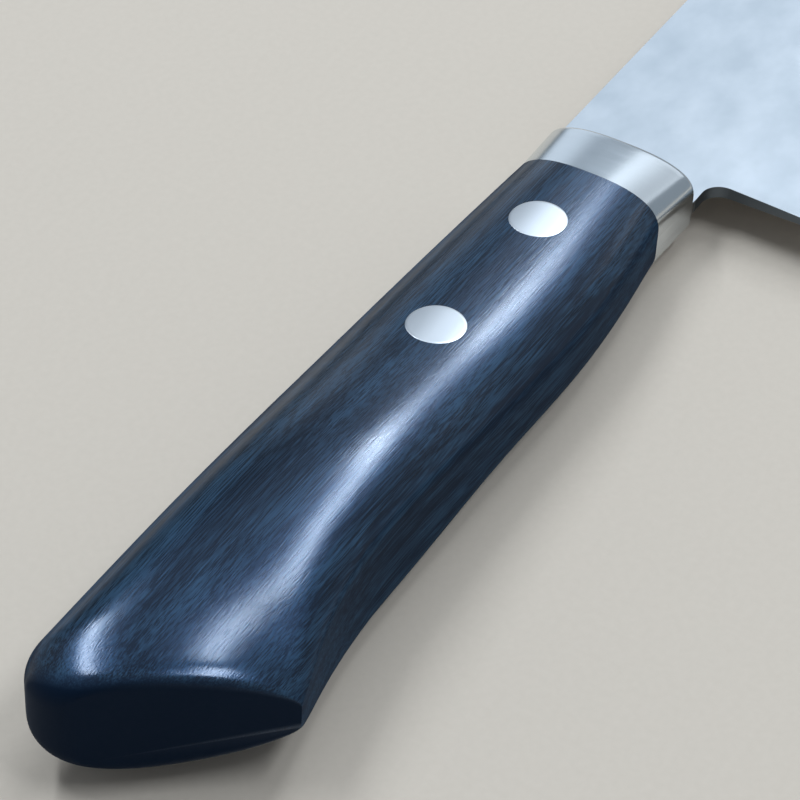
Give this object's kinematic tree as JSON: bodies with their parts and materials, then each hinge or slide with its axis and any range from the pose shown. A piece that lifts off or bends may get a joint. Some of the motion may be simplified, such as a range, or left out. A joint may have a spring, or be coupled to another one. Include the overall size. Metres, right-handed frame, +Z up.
{
  "type": "santoku knife",
  "caption": "Kitchen knife with a wide, straight-spined blade, a polished steel bolster and a dark riveted wood handle with a slanted butt, for slicing and chopping.",
  "frame": {"origin": "on the table, under the middle of the box of the knife as it lies on its left side", "axes": "+X along the knife towards its tip, +Y towards its spine, +Z up from the table through its right side"},
  "size_m": [0.297, 0.0472, 0.0212],
  "materials": {
    "blade_steel": "satin stainless cladding with a very fine even grain",
    "bolster_steel": "polished stainless steel",
    "rivet_steel": "satin stainless steel, ground flush with the wood",
    "handle_wood": "blue-black dyed laminated wood, buffed to a soft gloss"
  },
  "bodies": {
    "root": {"blade": "blade_steel", "bolster_right": "bolster_steel", "bolster_left": "bolster_steel", "scale_right": "handle_wood", "scale_left": "handle_wood", "packing_plate": "handle_wood", "front_rivet_post": "rivet_steel", "front_rivet_sleeve": "rivet_steel", "rear_rivet_post": "rivet_steel", "rear_rivet_sleeve": "rivet_steel"}
  },
  "joints": []
}
